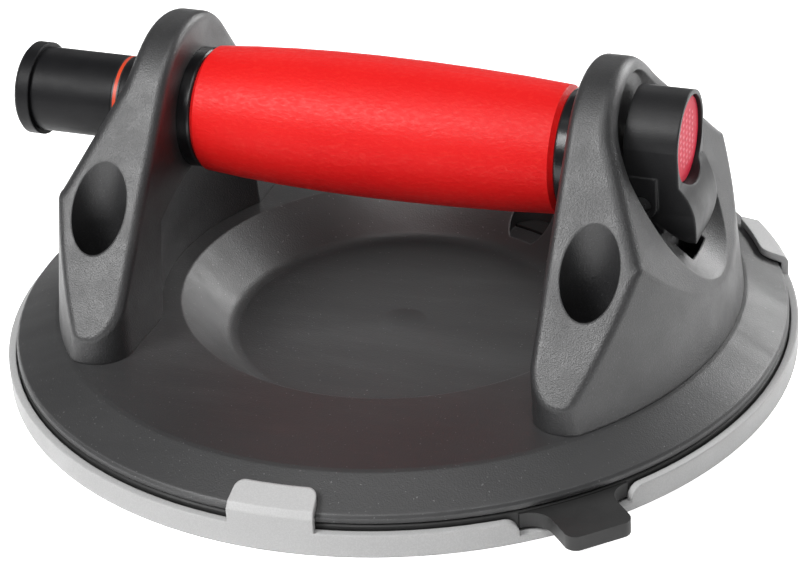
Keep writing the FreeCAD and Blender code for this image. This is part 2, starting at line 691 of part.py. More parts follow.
# ---------------------------------------------------------------- fasteners
def hexagon_corners(x, y, flats):
    """A hexagon with two of its flats square to the sketch's second axis."""
    third = Dim.of(30)
    far = flats / cosine(third) / 2
    corners = []
    for n in range(6):
        turn = Dim.of(60 * n)
        corners.append((x + far * cosine(turn), y + far * sine(turn)))
    return corners


def screw_form(name, bearing, head_radius, head_height, radius, length, downwards_head=False,
               key=None):
    """A screw on the upright axis whose head bears at the given height."""
    body = doc.addObject("PartDesign::Body", name)
    way = -1 if downwards_head else 1
    section = new_sketch(body, name + "Section", "XZ_Plane")
    top = bearing + head_height * way
    end = bearing - length * way
    bevel = head_height * 0.15
    outline(section, [
        (0, top), (head_radius - bevel, top), (head_radius, top - bevel * way),
        (head_radius, bearing), (radius, bearing), (radius, end + 0.5 * way),
        (radius - 0.5, end), (0, end)])
    turned(body, section, "V_Axis")
    socket = new_sketch(body, name + "Socket", "XY_Plane", offset=top)
    outline(socket, hexagon_corners(Dim.of(0), Dim.of(0), key))
    pocket(body, socket, head_height * 0.55, upwards=downwards_head)
    return body


def grouped(label, spots, make_one):
    """One master piece, repeated at each spot, kept as a group of separate solids."""
    master = make_one(label + "_master")
    copies = []
    for n, (x, y) in enumerate(spots):
        copy = doc.addObject("App::Link", f"{label}_{n + 1}")
        copy.LinkedObject = master
        bind(copy, "Placement.Base.x", x)
        bind(copy, "Placement.Base.y", y)
        copies.append(copy)
    group = doc.addObject("Part::Compound", label)
    group.Links = copies
    return group


def make_bracket_screws():
    return grouped("bracket_screws", bracket_screw_spots(), lambda name: screw_form(
        name, d.pocket_floor + d.washer_thick, d.screw_head_radius, d.screw_head_height,
        d.screw_radius, d.pocket_floor + d.washer_thick - pad_top - 0.3, key=d.screw_key))


def make_bracket_washers():
    def one(name):
        return ring(name, d.screw_radius + d.fit * 2, d.washer_radius, d.pocket_floor,
                    d.washer_thick)
    return grouped("bracket_washers", bracket_screw_spots(), one)


def make_bracket_nuts():
    def one(name):
        body = doc.addObject("PartDesign::Body", name)
        shape = new_sketch(body, name + "Outline", "XY_Plane", offset=pad_top)
        outline(shape, hexagon_corners(Dim.of(0), Dim.of(0), d.nut_flats))
        circle(shape, 0, 0, d.screw_radius + d.fit)
        pad(body, shape, d.nut_height)
        return body
    return grouped("bracket_nuts", bracket_screw_spots(), one)


def ring(name, inner, outer, z, height):
    """A plain ring about the upright axis."""
    body = doc.addObject("PartDesign::Body", name)
    section = new_sketch(body, name + "Section", "XZ_Plane")
    outline(section, [(inner, z), (outer, z), (outer, z + height), (inner, z + height)])
    turned(body, section, "V_Axis")
    return body


# ---------------------------------------------------------------- brackets
def make_bracket(side):
    """A moulded bracket: an arch with a round head over two leaning legs, a drafted
    skirt behind and a hollow inner wall below the hand."""
    name = "left" if side == LEFT else "right"
    body = new_body(name + "_bracket")
    lean, head = d.leg_lean, d.hub_radius
    touch_y = head * cosine(lean)
    touch_z = d.handle_height + head * sine(lean)
    foot_y = touch_y + (touch_z - plateau) * tangent(lean)
    above = d.handle_height + head + 3
    depth_from, depth = d.inner_top - 5, d.skirt_radius - d.inner_top + 10

    arch = new_sketch(body, name + "Arch", "YZ_Plane",
                      offset=depth_from if side == RIGHT else -(depth_from + depth))
    outline(arch, [
        (-foot_y, plateau), (foot_y, plateau), (touch_y, touch_z, head, -1),
        (-touch_y, touch_z)])
    pad(body, arch, depth)

    inside = new_sketch(body, name + "InnerFace", "XZ_Plane")
    outline(inside, [
        ((depth_from - 5) * side, plateau - 1), (d.inner_foot * side, plateau - 1),
        (d.inner_top * side, above), ((depth_from - 5) * side, above)])
    pocket(body, inside, both=True)

    shoulder = d.shoulder_lean
    bend = d.knee_radius * tangent(shoulder / 2)
    low = d.knee_height - plateau
    outside = new_sketch(body, name + "OuterFace", "XZ_Plane")
    outline(outside, [
        (d.hub_face * side, above), (d.hub_face * side, d.knee_height + bend, d.knee_radius, -side),
        ((d.hub_face + bend * sine(shoulder)) * side, d.knee_height - bend * cosine(shoulder)),
        ((d.hub_face + low * tangent(shoulder)) * side, plateau),
        ((d.hub_face + low * tangent(shoulder) + 10) * side, plateau),
        ((d.hub_face + low * tangent(shoulder) + 10) * side, above)])
    pocket(body, outside, both=True)

    rise = above - plateau
    skirt = new_sketch(body, name + "Skirt", "XZ_Plane")
    outline(skirt, [
        (d.skirt_radius, plateau), (d.skirt_radius - rise * tangent(d.skirt_draft), above),
        (d.skirt_radius + 60, above), (d.skirt_radius + 60, plateau - 1),
        (d.skirt_radius, plateau - 1)])
    turned(body, skirt, "V_Axis", cut=True)

    rise = d.arch_height - plateau
    narrow = d.arch_radius - rise * tangent(d.arch_draft)
    drop = narrow - d.inner_top + 2
    wall = new_sketch(body, name + "HollowWall", "XZ_Plane")
    outline(wall, [
        (0, plateau - 1), (d.arch_radius, plateau - 1), (d.arch_radius, plateau),
        (narrow, d.arch_height), (narrow - drop, d.arch_height + drop * 0.8),
        (0, d.arch_height + drop * 0.8)])
    hollow = turned(body, wall, "V_Axis", cut=True)

    tips = new_sketch(body, name + "Tips", "XY_Plane", offset=plateau - 1)
    for way in (-1, 1):
        outline(tips, [
            ((depth_from - 5) * side, d.foot_tip * way),
            ((d.skirt_radius + 5) * side, d.foot_tip * way),
            ((d.skirt_radius + 5) * side, (foot_y + 5) * way),
            ((depth_from - 5) * side, (foot_y + 5) * way)])
    shaped = pocket(body, tips, upwards=True)

    def at_a_tip(edge, radius_or_x, measured):
        p = middle_of(edge)
        return (len(edge.Vertexes) == 2 and stands(edge)
                and abs(abs(p.y) - d.foot_tip.value) < 0.1
                and abs(measured(p) - radius_or_x.value) < 1.5)

    def inner_corner(edge):
        return at_a_tip(edge, d.inner_foot, lambda p: abs(p.x))

    def outer_corner(edge):
        return at_a_tip(edge, d.skirt_radius, lambda p: math.hypot(p.x, p.y))

    shaped = rounded(body, shaped, inner_corner, d.foot_inner_round)
    shaped = rounded(body, shaped, outer_corner, d.foot_outer_round)

    def on_inner_crease(edge):
        p = middle_of(edge)
        x = abs(p.x)
        on_leg = (d.inner_top.value - 1 < x < d.inner_foot.value
                  and p.z > d.arch_height.value - 3 and abs(p.y) > d.hub_radius.value + 5)
        on_head = abs(p.y) < 1 and p.z > touch_z.value and x < d.inner_top.value + 3
        return on_leg or on_head

    def on_outer_crease(edge):
        p = middle_of(edge)
        x = abs(p.x)
        on_leg = x > d.hub_face.value - 1 and p.z > d.handle_height.value - 4 and abs(p.y) > 15
        on_head = abs(p.y) < 1 and p.z > touch_z.value + 3 and x > d.inner_top.value + 5
        return on_leg or on_head

    shaped = rounded(body, shaped, on_inner_crease, d.inner_crease)
    shaped = rounded(body, shaped, on_outer_crease, d.outer_crease)

    pockets = new_sketch(body, name + "ScrewPockets", "XY_Plane", offset=d.pocket_floor)
    holes = new_sketch(body, name + "ScrewHoles", "XY_Plane", offset=d.pocket_floor)
    for way in (-1, 1):
        circle(pockets, d.screw_along * side, d.screw_across * way, d.pocket_radius)
        circle(holes, d.screw_along * side, d.screw_across * way, d.screw_radius + d.fit)
    pocket(body, pockets, upwards=True)
    pocket(body, holes)

    if side == LEFT:
        add_plunger_bores(body)
    else:
        add_valve_housing(body)
    return body


def across_at(body, name, along):
    """A sketch square to the handle, at a place along it."""
    return new_sketch(body, name, "YZ_Plane", offset=along)


def add_plunger_bores(body):
    """The left head: a seat for the barrel, a hole for the plunger and a recess
    that takes its cap when the plunger is pushed home."""
    seat = across_at(body, "leftBarrelSeat", -d.barrel_left)
    circle(seat, 0, d.handle_height, barrel_seat)
    pocket(body, seat, d.barrel_left, upwards=True)
    hole = across_at(body, "leftPlungerHole", -d.barrel_left)
    circle(hole, 0, d.handle_height, d.plunger_hole)
    pocket(body, hole)
    recess = across_at(body, "leftCapRecess", -d.cap_recess_depth)
    circle(recess, 0, d.handle_height, d.cap_recess_radius)
    pocket(body, recess)


def add_valve_housing(body):
    """The right head: a blind seat for the barrel, a vent hole for the valve, an
    air duct down to the plate, and a scoop with a lug that carries the lever."""
    seat = across_at(body, "rightBarrelSeat", d.vent_face)
    circle(seat, 0, d.handle_height, barrel_seat)
    pocket(body, seat)
    groove = across_at(body, "sealGroove", d.vent_face - d.seal_inset)
    circle(groove, 0, d.handle_height, d.barrel_radius + d.ring_section * 2 + d.fit * 2)
    pocket(body, groove, d.ring_section * 2 + d.fit * 2)
    vent = across_at(body, "ventHole", d.vent_face - 1)
    circle(vent, 0, d.valve_height, d.stem_hole)
    pocket(body, vent, upwards=True)

    near = across_at(body, "scoopNear", d.scoop_near)
    circle(near, 0, d.scoop_near_height, d.scoop_near_radius)
    middle = across_at(body, "scoopMiddle", d.scoop_middle)
    circle(middle, 0, d.scoop_middle_height, d.scoop_middle_radius)
    far = across_at(body, "scoopFar", d.scoop_far)
    circle(far, 0, d.scoop_far_height, d.scoop_far_radius)
    scoop = body.newObject("PartDesign::SubtractiveLoft", "Scoop")
    scoop.Profile = near
    scoop.Sections = [middle, far]
    scoop.Ruled = True
    slot = new_sketch(body, "LegSlot", "XY_Plane", offset=d.slot_floor)
    outline(slot, [
        (d.slot_from, -d.slot_half), (d.slot_to, -d.slot_half), (d.slot_to, d.slot_half),
        (d.slot_from, d.slot_half)])
    pocket(body, slot, upwards=True)

    room = d.ear_radius + d.ear_clearance
    ears = new_sketch(body, "EarRecess", "XZ_Plane")
    outline(ears, [
        (d.pivot_along + room, d.pivot_height, room, 1),
        (d.pivot_along, d.pivot_height - room, room, 1),
        (d.pivot_along - room, d.pivot_height), (d.pivot_along - room, d.pivot_height + 12),
        (d.pivot_along + room, d.pivot_height + 12)])
    wide = pocket(body, ears, (d.ear_outer + d.ear_clearance) * 2)
    wide.Midplane = True
    lug = new_sketch(body, "LeverLug", "XZ_Plane")
    low = d.duct_knee + 1
    outline(lug, [
        (d.pivot_along + d.ear_radius, low),
        (d.pivot_along + d.ear_radius, d.pivot_height, d.ear_radius, -1),
        (d.pivot_along, d.pivot_height + d.ear_radius, d.ear_radius, -1),
        (d.pivot_along - d.ear_radius, d.pivot_height), (d.pivot_along - d.ear_radius, low)])
    pad(body, lug, d.lug_half * 2, midplane=True)
    bore = new_sketch(body, "PinBore", "XZ_Plane")
    circle(bore, d.pivot_along, d.pivot_height, d.pin_radius + d.running)
    hole = pocket(body, bore, d.lug_half * 2 + 2)
    hole.Midplane = True

    down = new_sketch(body, "AirDuct", "XY_Plane", offset=d.duct_knee)
    circle(down, d.duct_along, 0, d.duct_radius)
    pocket(body, down)
    run, fall = d.duct_along - d.vent_face, d.duct_mouth - d.duct_knee
    length = root(run * run + fall * fall)
    wide, tall = d.duct_radius * run / length, d.duct_radius * fall / length
    slant = new_sketch(body, "SlantedDuct", "XZ_Plane")
    past = 1.4 / length
    outline(slant, [
        (d.duct_along, d.duct_knee), (d.duct_along + tall, d.duct_knee + wide),
        (d.vent_face - run * past + tall, d.duct_mouth + fall * past + wide),
        (d.vent_face - run * past, d.duct_mouth + fall * past)])
    groove = body.newObject("PartDesign::Groove", "SlantedDuctGroove")
    groove.Profile = slant
    groove.ReferenceAxis = (slant, ["Edge4"])
    groove.Angle = 360


# ---------------------------------------------------------------- parts on the handle's axis
def lathe(label, corners, height=None):
    """A piece turned about a line along the handle; corners give place along it
    and radius."""
    body = new_body(label, d.handle_height if height is None else height)
    section = new_sketch(body, label + "Section", "XZ_Plane")
    outline(section, corners)
    turned(body, section, "H_Axis")
    return body


def tube(label, left, right, inner, outer, height=None):
    return lathe(label, [(left, inner), (right, inner), (right, outer), (left, outer)], height)


def make_pump_barrel():
    return tube("pump_barrel", -d.barrel_left, d.vent_face, d.barrel_bore, d.barrel_radius)


def make_grip_sleeve():
    """Soft rubber that swells a little left of the middle, with bevelled ends."""
    half, rise = d.grip_length / 2, d.grip_swell_radius - d.grip_end_radius
    left, right = d.grip_shift - half, d.grip_shift + half
    top = -d.grip_swell_place
    corners = [(left, barrel_seat), (right, barrel_seat),
               (right, d.grip_end_radius - d.grip_end_round)]
    for n in range(1, 9):
        share = 1 - n / 4
        run = right - top if share > 0 else top - left
        corners.append((top + run * share, d.grip_swell_radius - rise * share ** 2))
    corners.insert(3, (right - d.grip_end_round, d.grip_end_radius))
    corners[-1] = (left + d.grip_end_round, d.grip_end_radius)
    corners.append((left, d.grip_end_radius - d.grip_end_round))
    return lathe("grip_sleeve", corners)


def make_collar(side):
    """A glossy collar between the grip and a bracket, cut to the bracket's lean."""
    label = "left_collar" if side == LEFT else "right_collar"
    end = d.grip_length / 2 + d.grip_shift * side
    body = lathe(label, [
        (end * side, barrel_seat), (d.inner_foot * side, barrel_seat),
        (d.inner_foot * side, d.collar_radius), ((end + 0.5) * side, d.collar_radius),
        (end * side, d.collar_radius - 0.5)])
    above = d.hub_radius + 3
    below = plateau - 1 - d.handle_height
    face = new_sketch(body, label + "Face", "XZ_Plane")
    outline(face, [
        (d.inner_foot * side, below), (d.inner_top * side, above),
        ((d.inner_foot + 10) * side, above), ((d.inner_foot + 10) * side, below)])
    pocket(body, face, both=True)
    return body


def make_plunger_bush():
    return tube("plunger_bush", -d.barrel_left, -d.bush_right,
                d.plunger_radius + d.running, d.barrel_bore - d.fit)


def make_plunger_tube():
    """The moving tube, with a groove for its mark ring."""
    low, high = d.mark_place - d.mark_width / 2, d.mark_place + d.mark_width / 2
    inner_end = d.piston_place
    outer_end = d.plunger_tip - d.cap_thick
    floor = d.plunger_radius - d.mark_depth
    return lathe("plunger_tube", [
        (-outer_end, d.plunger_bore), (-inner_end, d.plunger_bore),
        (-inner_end, d.plunger_radius), (-low, d.plunger_radius), (-low, floor), (-high, floor),
        (-high, d.plunger_radius), (-outer_end, d.plunger_radius)])


def make_indicator_ring():
    half = d.mark_width / 2
    return tube("indicator_ring", -(d.mark_place + half), half - d.mark_place,
                d.plunger_radius - d.mark_depth, d.plunger_radius)


def make_plunger_cap():
    """The button that the thumb pushes, with a spigot inside the tube."""
    neck = d.plunger_tip - d.cap_thick
    bevel = 0.8
    return lathe("plunger_cap", [
        (-d.plunger_tip, 0), (-(neck - d.cap_spigot), 0),
        (-(neck - d.cap_spigot), d.plunger_bore - d.fit), (-neck, d.plunger_bore - d.fit),
        (-neck, d.cap_radius), (bevel - d.plunger_tip, d.cap_radius),
        (-d.plunger_tip, d.cap_radius - bevel)])


def make_piston():
    """The piston, with a groove for its seal, a spigot and a seat for the spring."""
    face, back = d.piston_place, d.piston_place - d.piston_length
    body_radius = d.barrel_bore - d.running * 2
    groove = d.barrel_bore - d.seal_depth
    seal_from, seal_to = (face + back + d.seal_width) / 2, (face + back - d.seal_width) / 2
    return lathe("piston", [
        (-(face + d.cap_spigot), 0), (-back, 0), (-back, body_radius), (-seal_to, body_radius),
        (-seal_to, groove), (-seal_from, groove), (-seal_from, body_radius),
        (-face, body_radius), (-face, d.plunger_bore - d.fit),
        (-(face + d.cap_spigot), d.plunger_bore - d.fit)])


def make_piston_seal():
    """A lip seal that lets air out of the pump but not back in."""
    middle = d.piston_place - d.piston_length / 2
    half = d.seal_width / 2
    groove = d.barrel_bore - d.seal_depth
    return lathe("piston_seal", [
        (-(middle + half), groove), (half - middle, groove),
        (half - middle, d.barrel_bore - d.running), (half - middle - 0.8, d.barrel_bore - d.running),
        (-(middle + half), d.barrel_bore - d.running * 8)])


def make_check_valve_plug():
    """A cup in the barrel's right end: its wall carries the check valve, its skirt
    stands on the bracket's end wall."""
    left, web = d.plug_place, d.plug_place + d.plug_length
    ring_depth = d.ring_section * 2 + d.fit * 2
    ring_from = left + d.plug_length / 2 - ring_depth / 2
    return_from = ring_from + ring_depth
    body = lathe("check_valve_plug", [
        (left, d.flap_stem + d.fit), (web, d.flap_stem + d.fit), (web, d.skirt_bore),
        (d.vent_face, d.skirt_bore), (d.vent_face, plug_radius), (return_from, plug_radius),
        (return_from, plug_radius - ring_depth), (ring_from, plug_radius - ring_depth),
        (ring_from, plug_radius), (left, plug_radius)])
    ports = new_sketch(body, "PlugPorts", "YZ_Plane", offset=left)
    for y, z in screw_spots(d.port_circle, d.port_count):
        circle(ports, y, z, d.port_radius)
    pocket(body, ports, d.plug_length, upwards=True)
    return body


def make_check_valve_flap():
    """A rubber mushroom: its flap covers the ports, its bulb holds it in the plug."""
    web = d.plug_place + d.plug_length
    return lathe("check_valve_flap", [
        (d.plug_place - d.flap_thick, 0), (web + 2.2, 0), (web + 0.2, d.flap_stem + 0.5),
        (web, d.flap_stem + 0.5), (web, d.flap_stem), (d.plug_place, d.flap_stem),
        (d.plug_place, d.flap_radius), (d.plug_place - d.flap_thick * 0.4, d.flap_radius)])


def seal_ring(label, along, mean_radius):
    """A rubber ring about the handle's axis; its section is an octagon."""
    far, near = d.ring_section, d.ring_section * tangent(Dim.of(22.5))
    steps = [(-near, -far), (near, -far), (far, -near), (far, near), (near, far), (-near, far),
             (-far, near), (-far, -near)]
    return lathe(label, [(along + x, mean_radius + y) for x, y in steps])


def make_plug_oring():
    return seal_ring("plug_oring", d.plug_place + d.plug_length / 2,
                     plug_radius - d.ring_section - d.fit)


def make_barrel_oring():
    half_groove = d.ring_section + d.fit
    return seal_ring("barrel_oring", d.vent_face - d.seal_inset - half_groove,
                     d.barrel_radius + half_groove)


def coil(label, left, right, height, mean_radius, wire, pitch):
    """A compression spring along the handle, its wire a hexagon."""
    helix = doc.addObject("Part::Helix", label + "_path")
    bind(helix, "Radius", mean_radius)
    bind(helix, "Pitch", pitch)
    bind(helix, "Height", right - left - wire * 2)
    section = doc.addObject("Part::RegularPolygon", label + "_section")
    section.Polygon = 6
    bind(section, "Circumradius", wire)
    section.Placement = Placement(Vector(), Rotation(Vector(1, 0, 0), 90))
    bind(section, "Placement.Base.x", mean_radius)
    sweep = doc.addObject("Part::Sweep", label)
    sweep.Sections = [section]
    sweep.Spine = (helix, ["Edge1"])
    sweep.Solid = True
    sweep.Frenet = True
    sweep.Placement = Placement(Vector(), Rotation(Vector(0, 1, 0), 90))
    bind(sweep, "Placement.Base.x", left + wire)
    bind(sweep, "Placement.Base.z", height)
    return sweep


def make_pump_spring():
    return coil("pump_spring", -(d.piston_place - d.piston_length), d.plug_place,
                d.handle_height, d.spring_radius, d.spring_wire, d.spring_pitch)


def make_poppet_spring():
    return coil("poppet_spring", d.plug_place + d.plug_length, disc_left, d.valve_height,
                d.poppet_spring_radius, d.poppet_spring_wire, d.poppet_spring_pitch)


# ---------------------------------------------------------------- release lever and valve
disc_right = d.vent_face - d.poppet_seal
disc_left = disc_right - d.poppet_thick


def make_valve_poppet():
    """A disc and the stem that the lever pushes."""
    tip = d.head_back - d.stem_gap
    return lathe("valve_poppet", [
        (disc_left, 0), (tip, 0), (tip, d.stem_radius), (disc_right, d.stem_radius),
        (disc_right, d.poppet_radius), (disc_left, d.poppet_radius)], d.valve_height)


def make_valve_seal():
    return tube("valve_seal", disc_right, d.vent_face, d.stem_radius + d.fit,
                d.poppet_radius, d.valve_height)


def make_release_lever():
    """A rocking lever: a round head over the valve stem and a leg that lies along
    the scoop; two ears straddle the housing's lug."""
    body = new_body("release_lever")
    near = across_at(body, "leverNear", d.scoop_near)
    circle(near, 0, d.scoop_near_height, d.lever_near_radius)
    far = across_at(body, "leverFar", d.scoop_far)
    circle(far, 0, d.lever_far_height, d.lever_far_radius)
    block = body.newObject("PartDesign::AdditiveLoft", "LeverBlock")
    block.Profile = near
    block.Sections = [far]

    # outline seen along the handle: head and tip circles with straight flanks
    drop = d.valve_height - d.leg_tip_height
    slope = (d.head_radius - d.leg_tip_radius) / drop
    level = root(1 - slope * slope)
    wide = d.scoop_far_radius + 5
    shape = across_at(body, "LeverOutline", d.scoop_near - 1)
    outline(shape, [
        (-d.head_radius * level, d.valve_height + d.head_radius * slope, d.head_radius, 1),
        (0, d.valve_height + d.head_radius, d.head_radius, 1),
        (d.head_radius * level, d.valve_height + d.head_radius * slope),
        (d.leg_tip_radius * level, d.leg_tip_height + d.leg_tip_radius * slope,
         d.leg_tip_radius, 1),
        (0, d.leg_tip_height - d.leg_tip_radius, d.leg_tip_radius, 1),
        (-d.leg_tip_radius * level, d.leg_tip_height + d.leg_tip_radius * slope)])
    outline_frame(shape, wide)
    pocket(body, shape, upwards=True)

    side_view = new_sketch(body, "LeverProfile", "XZ_Plane")
    top = d.scoop_near_height + d.scoop_far_radius + 5
    low = d.scoop_far_height - d.scoop_far_radius - 5
    outline(side_view, [
        (d.scoop_near - 1, low), (d.head_back, low), (d.head_back, d.valve_height + 4),
        (d.head_back + 1.1, top), (d.scoop_near - 1, top)])
    pocket(body, side_view, both=True)
    front = new_sketch(body, "LeverFront", "XZ_Plane")
    outline(front, [
        (d.head_face, top), (d.head_face, d.leg_neck_height, d.leg_bulge_round, 1),
        (d.leg_toe, d.leg_toe_height), (d.leg_toe - 2, low),
        (d.scoop_far + 5, low), (d.scoop_far + 5, top)])
    pocket(body, front, both=True)

    hollow = new_sketch(body, "LugRoom", "XZ_Plane")
    room = d.ear_radius + d.ear_clearance
    outline(hollow, [
        (d.pivot_along + room, low), (d.pivot_along + room, d.pivot_height, room, -1),
        (d.pivot_along, d.pivot_height + room, room, -1), (d.pivot_along - room, d.pivot_height),
        (d.pivot_along - room, low)])
    gap = pocket(body, hollow, d.ear_inner * 2)
    gap.Midplane = True
    for way, name in ((-1, "Near"), (1, "Far")):
        ear = new_sketch(body, f"Ear{name}", "XZ_Plane",
                         offset=d.ear_inner if way == 1 else -d.ear_outer)
        outline(ear, [
            (d.pivot_along - d.ear_radius, d.pivot_height, d.ear_radius, -1),
            (d.pivot_along, d.pivot_height - d.ear_radius, d.ear_radius, -1),
            (d.pivot_along + d.ear_radius, d.pivot_height),
            (d.pivot_along + d.ear_radius, d.pivot_height + d.ear_radius * 2),
            (d.pivot_along - d.ear_radius, d.pivot_height + d.ear_radius * 2)])
        pad(body, ear, d.ear_outer - d.ear_inner)
    bore = new_sketch(body, "LeverPinBore", "XZ_Plane")
    circle(bore, d.pivot_along, d.pivot_height, d.pin_radius + d.running)
    pocket(body, bore, both=True)
    seat = across_at(body, "ButtonSeat", d.head_face - d.button_inset)
    circle(seat, 0, d.valve_height, d.button_radius + d.fit)
    pocket(body, seat, upwards=True)
    return body


def make_lever_pad():
    """The red pad that the thumb presses."""
    back = d.head_face - d.button_inset
    bevel = 0.4
    return lathe("lever_pad", [
        (back, 0), (back + d.button_thick, 0), (back + d.button_thick, d.button_radius - bevel),
        (back + d.button_thick - bevel, d.button_radius), (back, d.button_radius)],
        d.valve_height)


def make_lever_pin():
    pin = doc.addObject("Part::Cylinder", "lever_pin")
    bind(pin, "Radius", d.pin_radius)
    bind(pin, "Height", d.pin_half * 2)
    pin.Placement = Placement(Vector(), Rotation(Vector(1, 0, 0), 90))
    bind(pin, "Placement.Base.x", d.pivot_along)
    bind(pin, "Placement.Base.y", d.pin_half)
    bind(pin, "Placement.Base.z", d.pivot_height)
    return pin


def outline_frame(sketch, half):
    """A square round the drawn outline, so that the cut leaves the outline standing."""
    z = d.pivot_height
    outline(sketch, [(-half, z - half), (half, z - half), (half, z + half), (-half, z + half)])


# ---------------------------------------------------------------- the whole lifter
pieces = [
    make_cover(), make_suction_pad(), make_clamp_ring(), make_ring_screws(), make_dust_filter(),
    make_base_plate(), make_bracket(LEFT), make_bracket(RIGHT), make_bracket_screws(),
    make_bracket_washers(), make_bracket_nuts(), make_pump_barrel(), make_grip_sleeve(),
    make_collar(LEFT), make_collar(RIGHT), make_plunger_bush(), make_plunger_tube(),
    make_indicator_ring(), make_plunger_cap(), make_piston(), make_piston_seal(),
    make_check_valve_plug(), make_check_valve_flap(), make_plug_oring(), make_barrel_oring(),
    make_pump_spring(), make_valve_poppet(), make_valve_seal(), make_poppet_spring(),
    make_release_lever(), make_lever_pad(), make_lever_pin(),
]
doc.recompute()

for item in doc.Objects:
    broken = {"Invalid", "Error"} & set(item.State)
    if broken:
        raise RuntimeError(f"{item.Name} did not compute: {item.State}")
for piece in pieces:
    if piece.Shape.isNull() or not piece.Shape.isValid():
        raise RuntimeError(f"{piece.Label} has no valid shape")

os.makedirs("parts", exist_ok=True)
for piece in pieces:
    piece.Shape.exportStep(f"parts/{piece.Label}.step")
    print(piece.Label, len(piece.Shape.Solids), round(piece.Shape.Volume, 1))
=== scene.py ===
"""Looks for the floor tile suction lifter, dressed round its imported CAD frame."""
import math

import bpy
import bmesh
from mathutils import Matrix, Vector


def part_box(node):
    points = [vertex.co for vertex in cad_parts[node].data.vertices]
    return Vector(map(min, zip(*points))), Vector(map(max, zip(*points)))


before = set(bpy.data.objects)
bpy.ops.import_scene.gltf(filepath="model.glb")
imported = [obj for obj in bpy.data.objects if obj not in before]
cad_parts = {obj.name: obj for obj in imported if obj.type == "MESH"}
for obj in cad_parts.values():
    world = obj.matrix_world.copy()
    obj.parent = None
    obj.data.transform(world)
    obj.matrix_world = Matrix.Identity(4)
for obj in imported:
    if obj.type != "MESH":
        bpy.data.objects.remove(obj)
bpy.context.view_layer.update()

# Where most values of a noise lie, so that a span over it uses the whole pattern.
NOISE_MIDDLE = (0.3, 0.7)

# Scales of the noises, in cycles a metre.
GRAIN_SCALE = 2700
SPECK_SCALE = 2600
WEAR_AND_HIGHLIGHT_SCALE = 210
SHEEN_SCALE = 120

# The dots on the lever's pad, in metres, and where their border starts and ends.
DOT_PITCH = (("Y", 0.0028), ("Z", 0.0017))
DOT_BORDER = (0.62, 0.72)

# The point over the middle of the plate that every lamp faces.
LAMP_AIM = (0, 0, 0.04)

FLOOR_HALF = 0.6
FLOOR_HEIGHT = -0.0002
AMBIENT = 0.11


# ---------------------------------------------------------------- node helpers
class Maker:
    """A small wrapper that builds a node material step by step."""

    def __init__(self, name, color, roughness, **sockets):
        self.material = bpy.data.materials.new(name)
        self.material.use_nodes = True
        self.tree = self.material.node_tree
        self.shader = self.tree.nodes["Principled BSDF"]
        self.shader.inputs["Base Color"].default_value = (*color, 1)
        self.shader.inputs["Roughness"].default_value = roughness
        for socket, value in sockets.items():
            self.shader.inputs[socket.replace("_", " ")].default_value = value
        self.place = self.node("ShaderNodeTexCoord").outputs["Object"]

    def node(self, kind, **settings):
        made = self.tree.nodes.new(kind)
        for key, value in settings.items():
            setattr(made, key, value)
        return made

    def link(self, source, target):
        self.tree.links.new(source, target)

    def noise(self, scale, detail=4, roughness=0.5, place=None):
        made = self.node("ShaderNodeTexNoise")
        made.inputs["Scale"].default_value = scale
        made.inputs["Detail"].default_value = detail
        made.inputs["Roughness"].default_value = roughness
        self.link(place or self.place, made.inputs["Vector"])
        return made.outputs["Fac"]

    def span(self, value, low, high, to_low=0.0, to_high=1.0):
        made = self.node("ShaderNodeMapRange")
        made.inputs["From Min"].default_value = low
        made.inputs["From Max"].default_value = high
        made.inputs["To Min"].default_value = to_low
        made.inputs["To Max"].default_value = to_high
        self.link(value, made.inputs["Value"])
        return made.outputs["Result"]

    def math(self, operation, first, second):
        made = self.node("ShaderNodeMath", operation=operation)
        for socket, value in zip(made.inputs, (first, second)):
            if isinstance(value, (int, float)):
                socket.default_value = value
            else:
                self.link(value, socket)
        return made.outputs["Value"]

    def mix(self, factor, first, second):
        made = self.node("ShaderNodeMix", data_type="RGBA")
        self.link(factor, made.inputs["Factor"])
        for name, value in (("A", first), ("B", second)):
            socket = [s for s in made.inputs if s.name == name and s.type == "RGBA"][0]
            if isinstance(value, tuple):
                socket.default_value = (*value, 1)
            else:
                self.link(value, socket)
        return [s for s in made.outputs if s.type == "RGBA"][0]

    def color(self, value):
        self.link(value, self.shader.inputs["Base Color"])

    def roughness(self, value):
        self.link(value, self.shader.inputs["Roughness"])

    def clouded(self, clouds, dark, light):
        """A colour that drifts between two shades."""
        return self.mix(self.span(clouds, *NOISE_MIDDLE), dark, light)

    def worn_and_highlit_edges(self, radius, least, most):
        """Softens the edges' shading and returns how much each point of them is lightened: partly
        worn, partly a painted highlight.
        """
        soft = self.node("ShaderNodeBevel", samples=6)
        soft.inputs["Radius"].default_value = radius
        bare = self.node("ShaderNodeNewGeometry")
        agree = self.node("ShaderNodeVectorMath", operation="DOT_PRODUCT")
        self.link(soft.outputs["Normal"], agree.inputs[0])
        self.link(bare.outputs["Normal"], agree.inputs[1])
        self.link(soft.outputs["Normal"], self.shader.inputs["Normal"])
        edge = self.span(agree.outputs["Value"], 0.995, 0.93)
        patches = self.span(self.noise(WEAR_AND_HIGHLIGHT_SCALE, 4, 0.6), 0.35, 0.6, least, most)
        return self.math("MULTIPLY", edge, patches)

    def bump(self, height, distance, strength=1.0):
        made = self.node("ShaderNodeBump")
        made.inputs["Distance"].default_value = distance
        made.inputs["Strength"].default_value = strength
        self.link(height, made.inputs["Height"])
        if self.shader.inputs["Normal"].is_linked:
            earlier = self.shader.inputs["Normal"].links[0].from_socket
            self.link(earlier, made.inputs["Normal"])
        self.link(made.outputs["Normal"], self.shader.inputs["Normal"])


